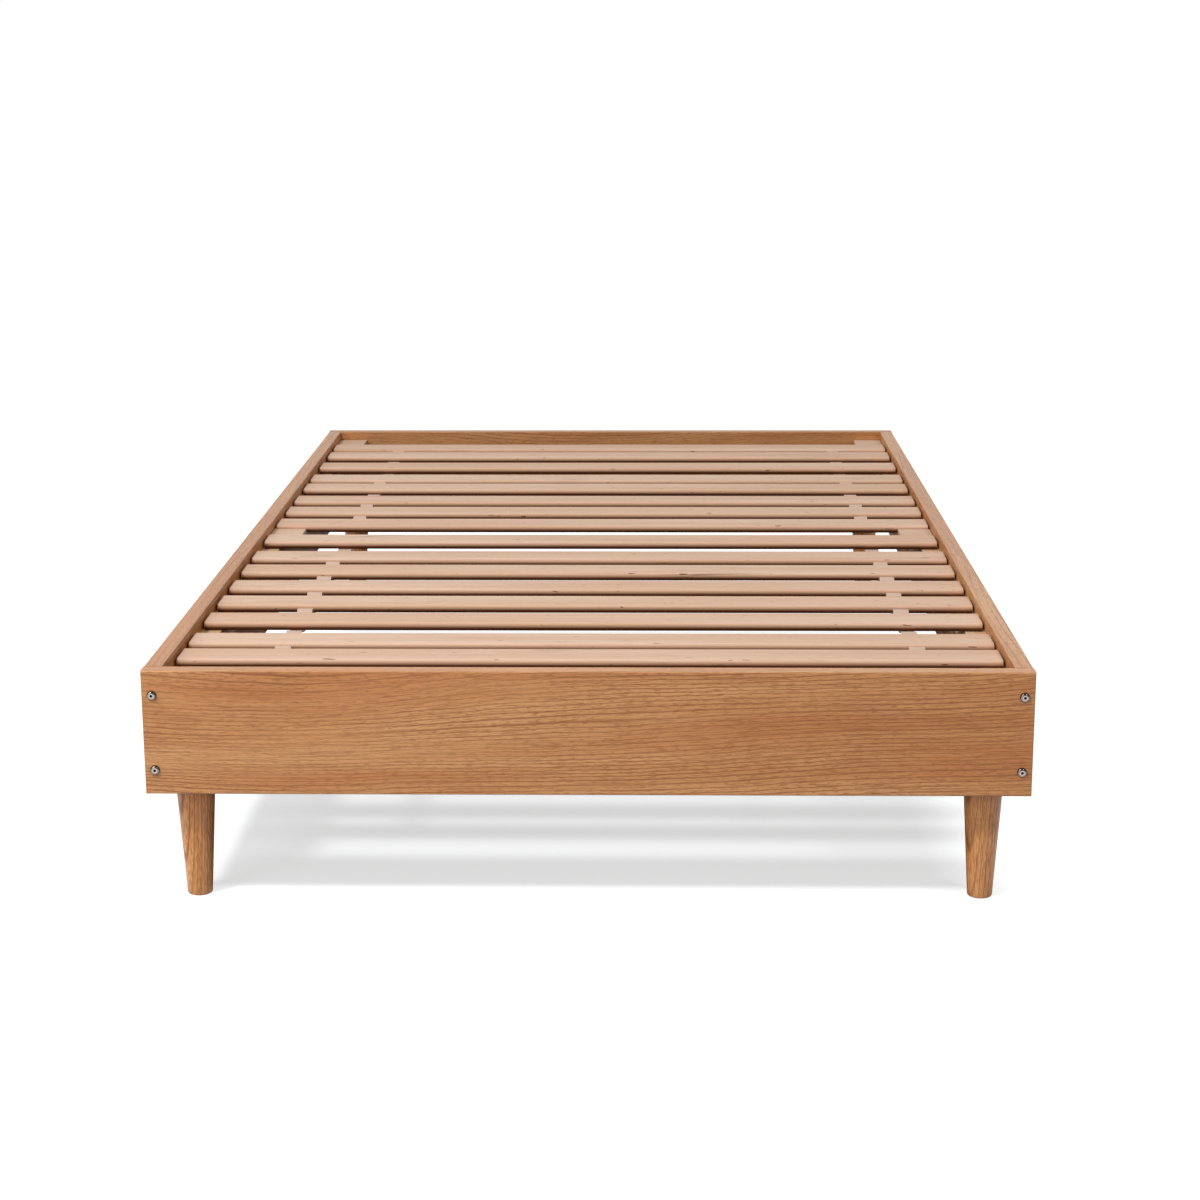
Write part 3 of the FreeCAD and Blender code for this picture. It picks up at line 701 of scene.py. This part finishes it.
def add_object(name, data):
    """New object in the scene."""
    thing = bpy.data.objects.new(name, data)
    bpy.context.scene.collection.objects.link(thing)
    return thing


def woven(finish):
    """Plain weave that follows the tape's own map."""
    material, graph = new_material("woven_tape")
    place = graph.add("ShaderNodeTexCoord", output="UV")
    across, along, _ = graph.split(place)
    turns = math.tau / finish.pitch
    warp = graph.maths("SINE", across * turns)
    weft = graph.maths("SINE", along * turns + graph.maths("SIGN", warp) * (math.pi / 2))
    weave = warp * weft * 0.5 + 0.5
    level = weave * WEAVE_SHARE + graph.noise(place, FUZZ, 2.0) * FUZZ_SHARE
    surface(graph, {
        "Base Color": graph.mix(level, opaque(finish.shadow), opaque(finish.yarn)),
        "Roughness": 0.9,
        "Sheen Weight": 0.15,
        "Normal": graph.bump(level, *WEAVE_BUMP),
    })
    return material


def tape_stretch(number):
    """Where the tapes' run over a gap starts and ends along the bed, and the gap's two edges."""
    head_slat, foot_slat = (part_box(f"slat_{index:02d}") for index in (number, number + 1))
    gap = (head_slat[0].y, foot_slat[1].y)
    start = (head_slat[0].y + head_slat[1].y) / 2
    end = (foot_slat[0].y + foot_slat[1].y) / 2
    if number in FIRST_SLATS:
        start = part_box(f"tape_{number:02d}")[1].y
    if number + 1 in LAST_SLATS:
        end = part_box(f"tape_{number + 1:02d}")[0].y
    return start, end, gap


def tape_rise(gap, finish):
    """How far a tape stands up in a gap: it sags in the widest one and buckles in narrow ones."""
    widest = max(head_edge - foot_edge for head_edge, foot_edge in (tape_stretch(n)[2] for n in GAPS))
    spare = widest - (gap[0] - gap[1])
    return min(spare * finish.slack - finish.sag, finish.rise)


def tape_stations(start, end, gap):
    """Places along the bed of a tape's sections."""
    spans = ((start, gap[0], SLAT_STEPS), (*gap, GAP_STEPS), (gap[1], end, SLAT_STEPS))
    stations = [
        first + (last - first) * step / steps for first, last, steps in spans for step in range(steps)
    ]
    return [*stations, end]


def strip(mesh, uv, left, low, high, run, finish):
    """Add one tape to a mesh: a flat ribbon with round edges that buckles or hangs in the gap."""
    gap = run[2]
    half = (high - low) / 2
    rise = tape_rise(gap, finish)
    rows = []
    for along in tape_stations(*run):
        way = min(max((along - gap[0]) / (gap[1] - gap[0]), 0), 1)
        middle = (low + high) / 2 + rise * math.sin(math.pi * way) ** 2
        rows.append([
            mesh.verts.new((left + finish.width * across, along, middle + half * lift))
            for across, lift in TAPE_SECTION
        ])
    count = len(TAPE_SECTION)
    for near, far in zip(rows, rows[1:]):
        for index in range(count):
            following = (index + 1) % count
            face = mesh.faces.new((near[index], near[following], far[following], far[index]))
            face.smooth = True
            for loop in face.loops:
                loop[uv].uv = (loop.vert.co.x, loop.vert.co.y)
    mesh.faces.new(rows[0])
    mesh.faces.new(rows[-1][::-1])


def make_tape(number, finish, material):
    """Both tapes from one slat to the next, bending at the gap between them."""
    run = tape_stretch(number)
    lowest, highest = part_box(f"tape_{number:02d}")
    mesh = bmesh.new()
    uv = mesh.loops.layers.uv.new("weave")
    for left in (lowest.x, highest.x - finish.width):
        strip(mesh, uv, left, lowest.z, highest.z, run, finish)
    bmesh.ops.recalc_face_normals(mesh, faces=mesh.faces)
    data = bpy.data.meshes.new(f"tapes_{number:02d}")
    mesh.to_mesh(data)
    mesh.free()
    data.materials.append(material)
    piece = add_object(f"tapes_{number:02d}", data)
    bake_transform(piece)
    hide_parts(f"tape_{number:02d}")
    if number + 1 in LAST_SLATS:
        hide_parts(f"tape_{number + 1:02d}")


class BEDBASE_OT_tapes(Operator):
    """Make the woven tapes under the slats, which bend at each gap"""
    bl_idname = "bedbase.tapes"
    bl_label = "Woven tapes"

    def execute(self, context):
        finish = context.scene.bed_base.tape
        material = woven(finish)
        for number in GAPS:
            make_tape(number, finish, material)
        return {"FINISHED"}


def staple_tree(material):
    """Geometry nodes that set a wire staple at each point of a mesh."""
    tree = bpy.data.node_groups.new("tape_staples", "GeometryNodeTree")
    graph = Graph(tree)
    sockets = {}
    tree.interface.new_socket("Points", in_out="INPUT", socket_type="NodeSocketGeometry")
    for name in ("Crown", "Wire", "Leg"):
        socket = tree.interface.new_socket(name, in_out="INPUT", socket_type="NodeSocketFloat")
        sockets[name] = socket.identifier
    tree.interface.new_socket("Staples", in_out="OUTPUT", socket_type="NodeSocketGeometry")
    group = tree.nodes.new("NodeGroupInput")
    points, crown, wire, leg = (Wire(graph, group.outputs[index]) for index in range(4))

    # The two inner corners lie on the tape, and the two outer ones end the legs in the wood
    corners = graph.add("GeometryNodeMeshLine", {"mode": "OFFSET"}, {"Count": STAPLE_CORNERS})
    centred = graph.add("GeometryNodeInputIndex") - (STAPLE_CORNERS - 1) / 2
    spot = graph.add("ShaderNodeCombineXYZ", None, {
        X: graph.maths("SIGN", centred) * crown * 0.5,
        Z: (abs(centred) > 1.0) * leg,
    })
    bent = graph.add("GeometryNodeSetPosition", None, {"Geometry": corners, "Position": spot})
    line = graph.add("GeometryNodeMeshToCurve", None, {"Mesh": bent})
    rounding = {"Curve": line, "Count": BEND_STEPS, "Radius": wire * BEND_RADIUS}
    line = graph.add("GeometryNodeFilletCurve", {"mode": "POLY"}, rounding)
    circle = {"Resolution": WIRE_SIDES, "Radius": wire}
    section = graph.add("GeometryNodeCurvePrimitiveCircle", {"mode": "RADIUS"}, circle)
    sweep = {"Curve": line, "Profile Curve": section, "Fill Caps": True}
    staple = graph.add("GeometryNodeCurveToMesh", None, sweep)
    placed = graph.add("GeometryNodeInstanceOnPoints", None, {"Points": points, "Instance": staple})
    real = graph.add("GeometryNodeRealizeInstances", None, {"Geometry": placed})
    shown = graph.add("GeometryNodeSetMaterial", None, {"Geometry": real, "Material": material})
    graph.add("NodeGroupOutput", None, {0: shown})
    return tree, sockets


def staple_spots(number, tape, staple):
    """Places of the staples under one slat: two on each tape."""
    lowest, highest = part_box(f"slat_{number:02d}")
    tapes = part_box(f"tape_{number:02d}")
    middle = (lowest.y + highest.y) / 2
    columns = (tapes[0].x + tape.width / 2, tapes[1].x - tape.width / 2)
    rows = (middle - staple.spread, middle + staple.spread)
    return [(across, along, tapes[0].z) for across in columns for along in rows]


def make_staples(body, spots, tree, sockets, sizes):
    """One mesh of staples that rides on one body."""
    seed = bpy.data.meshes.new(f"staples_{body}")
    seed.from_pydata(spots, [], [])
    piece = add_object(f"staples_{body}", seed)
    modifier = piece.modifiers.new("staples", "NODES")
    modifier.node_group = tree
    for name, socket in sockets.items():
        modifier[socket] = getattr(sizes, name.lower())
    evaluated = piece.evaluated_get(bpy.context.evaluated_depsgraph_get())
    result = bpy.data.meshes.new_from_object(evaluated)
    piece.modifiers.remove(modifier)
    piece.data = result
    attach(piece, body)


class BEDBASE_OT_staples(Operator):
    """Make the staples that hold the tapes to the slats"""
    bl_idname = "bedbase.staples"
    bl_label = "Tape staples"

    def execute(self, context):
        settings = context.scene.bed_base
        tree, sockets = staple_tree(steel("staple_steel", settings.steel))
        spots = {}
        for number in (slat for mat in MATS for slat in mat):
            places = staple_spots(number, settings.tape, settings.staple)
            spots.setdefault(BODY_OF[f"slat_{number:02d}"], []).extend(places)
        for body, places in spots.items():
            make_staples(body, places, tree, sockets, settings.staple)
        return {"FINISHED"}


# Stage

# Half of the floor's width, in metres
FLOOR_REACH = 40.0

# Where the shade under the bed fades out, in widths or lengths of the bed from its middle
SHADE_END = (0.45, 0.55)

# Ramps on the floor, in metres from the bed's middle to both sides, towards the foot and towards the head;
# inside them the floor glows less, which paints the shadow's outline
SIDE_STOPS = ((0.54, 0.0), (0.64, 1.0))
FOOT_STOPS = ((0.93, 0.0), (1.0, 1.0))
HEAD_STOPS = ((0.2, 0.0), (0.45, 1.0))

# Where the floor far behind the bed starts, in steps of four metres from the bed's middle
FAR_STEP = 4.0
FAR_STOPS = ((0.5, 0.0), (0.6, 1.0))

# Where most of the fill light comes from, and where the room in reflections turns from dark to white
BRIGHT_SIDE = (-0.58, -0.35, 0.735)
ROOM_TURN = (0.3, 0.75)

# Lamps, each with its size, its place and its target
LAMPS = {
    "left": ((0.7, 0.45), (-2.6, -3.3, 4.6), (0, -0.5, 0.3)),
    "right": ((0.7, 0.45), (3.4, -3.3, 4.6), (0, -0.5, 0.3)),
    "side": ((2.0, 1.5), (-2.6, -3.8, 1.6), (0, -1.0, 0.2)),
}

# Width of the camera's sensor, in millimetres
SENSOR_WIDTH = 36.0


def seen(graph, mirrored=1.0):
    """1 for what the camera or glass sees, 0 for light that spreads, and a given share for reflections."""
    camera, glossy, glass = (
        graph.add("ShaderNodeLightPath", output=ray)
        for ray in ("Is Camera Ray", "Is Glossy Ray", "Is Transmission Ray")
    )
    return graph.most(camera, glossy * mirrored, glass)


def floor_material(settings):
    """White that keeps the shadow and glows less under the bed, a painted shadow outline, and that
    reflections don't show under the bed and close behind it.
    """
    material, graph = new_material("floor_white")
    across, along, _ = graph.split(graph.add("ShaderNodeTexCoord", output="Object"))
    beyond = graph.most(abs(across) / CAD_BOX[1].x, abs(along) / CAD_BOX[1].y)
    spread = graph.ramp(beyond * 0.5, *zip(SHADE_END, (settings.shade, settings.bounce)))
    sides = graph.ramp(abs(across), *SIDE_STOPS)
    foot = graph.ramp(0.0 - along, *FOOT_STOPS)
    head = graph.ramp(along, *HEAD_STOPS)
    far = graph.ramp(along / FAR_STEP, *FAR_STOPS)
    ahead = graph.most(sides, foot)
    clear = seen(graph, graph.most(ahead, far))
    shown = graph.mix(clear, spread, opaque(settings.floor))
    matt = graph.add("ShaderNodeBsdfDiffuse", None, {"Color": shown})
    around = graph.most(ahead, head)
    # Painted shade: less glow under the bed than around it
    white = graph.ramp(around, (0.0, settings.glow), (1.0, settings.open_glow))
    glow = graph.add("ShaderNodeEmission", None, {"Color": white, "Strength": clear})
    both = graph.add("ShaderNodeAddShader", None, {0: matt, 1: glow})
    graph.add("ShaderNodeOutputMaterial", None, {"Surface": both})
    return material


def make_floor(settings):
    """Wide pale floor."""
    low, high = -FLOOR_REACH, FLOOR_REACH
    mesh = bpy.data.meshes.new("floor")
    mesh.from_pydata([(low, low, 0), (high, low, 0), (high, high, 0), (low, high, 0)], [], [(0, 1, 2, 3)])
    mesh.materials.append(floor_material(settings))
    floor = add_object("floor", mesh)


def make_sky(settings):
    """White for the camera, fill light with a bright side, and for reflections a room with a dark end."""
    world = bpy.data.worlds.new("studio")
    world.use_nodes = True
    bpy.context.scene.world = world
    graph = Graph(world.node_tree)
    direction = graph.add("ShaderNodeTexCoord", output="Generated")
    heading = graph.split(direction)[Y]
    facing = {0: direction, 1: BRIGHT_SIDE}
    lit = graph.add("ShaderNodeVectorMath", {"operation": "DOT_PRODUCT"}, facing, "Value")
    around = graph.ramp(lit * 0.5 + 0.5, (0.0, settings.dim_fill), (1.0, settings.bright_fill))
    room = graph.ramp(heading * 0.5 + 0.5, *zip(ROOM_TURN, (settings.dark_room, 1.0)))
    glossy = graph.add("ShaderNodeLightPath", output="Is Glossy Ray")
    white = graph.mix(glossy, (1, 1, 1, 1), room)
    fill = graph.add("ShaderNodeBackground", None, {"Color": around, "Strength": 1.0})
    shown = graph.add("ShaderNodeBackground", None, {"Color": white, "Strength": 1.0})
    sky = graph.add("ShaderNodeMixShader", None, {0: seen(graph), 1: fill, 2: shown})
    graph.add("ShaderNodeOutputWorld", None, {"Surface": sky})


def make_lamp(name, power, size, spot, target):
    """Rectangular lamp at a spot that points at a target."""
    light = bpy.data.lights.new(name, "AREA")
    light.energy = power
    light.shape = "RECTANGLE"
    light.size, light.size_y = size
    lamp = add_object(name, light)
    lamp.location = spot
    lamp.rotation_euler = (Vector(target) - Vector(spot)).to_track_quat("-Z", "Y").to_euler()


def make_camera(settings):
    """Camera where the photo was taken from."""
    lens = bpy.data.cameras.new("camera")
    lens.lens = settings.lens
    lens.sensor_width = SENSOR_WIDTH
    camera = add_object("camera", lens)
    camera.location = settings.eye
    camera.rotation_euler = settings.turn
    bpy.context.scene.camera = camera


class BEDBASE_OT_stage(Operator):
    """Set up the camera, the lights and the floor"""
    bl_idname = "bedbase.stage"
    bl_label = "Stage"

    def execute(self, context):
        settings = context.scene.bed_base.stage
        make_floor(settings)
        make_sky(settings)
        for side, (size, spot, target) in LAMPS.items():
            make_lamp(f"{side}_lamp", getattr(settings, side), size, spot, target)
        make_camera(settings)
        context.scene.view_settings.view_transform = "Standard"
        return {"FINISHED"}


# Panel and registration

class BEDBASE_PT_panel(Panel):
    """Bed base operators and settings"""
    bl_idname = "BEDBASE_PT_panel"
    bl_label = "Bed base"
    bl_space_type = "VIEW_3D"
    bl_region_type = "UI"
    bl_category = "Bed base"

    def draw(self, context):
        for operator in OPERATORS:
            self.layout.operator(operator.bl_idname)
        settings = context.scene.bed_base
        for group in settings.bl_rna.properties:
            if group.type != "POINTER" or group.identifier == "rna_type":
                continue
            box = self.layout.box()
            box.label(text=group.name)
            values = getattr(settings, group.identifier)
            for setting in values.__annotations__:
                box.prop(values, setting)


GROUPS = (
    OakFinish, SlatFinish, TimberFinish, TapeFinish, SteelFinish, StapleSizes, StageSettings,
    BedBaseSettings,
)
OPERATORS = (
    BEDBASE_OT_stage, BEDBASE_OT_oak, BEDBASE_OT_slats, BEDBASE_OT_timber, BEDBASE_OT_fasteners,
    BEDBASE_OT_tapes, BEDBASE_OT_staples,
)


def register():
    for group in GROUPS:
        bpy.utils.register_class(group)
    for operator in OPERATORS:
        bpy.utils.register_class(operator)
    bpy.utils.register_class(BEDBASE_PT_panel)
    bpy.types.Scene.bed_base = PointerProperty(type=BedBaseSettings)


def unregister():
    del bpy.types.Scene.bed_base
    bpy.utils.unregister_class(BEDBASE_PT_panel)
    for operator in reversed(OPERATORS):
        bpy.utils.unregister_class(operator)
    for group in reversed(GROUPS):
        bpy.utils.unregister_class(group)


def main():
    register()
    bpy.ops.bedbase.stage()
    bpy.ops.bedbase.oak()
    bpy.ops.bedbase.slats()
    bpy.ops.bedbase.timber()
    bpy.ops.bedbase.fasteners()
    bpy.ops.bedbase.tapes()
    bpy.ops.bedbase.staples()


if __name__ == "__main__":
    main()
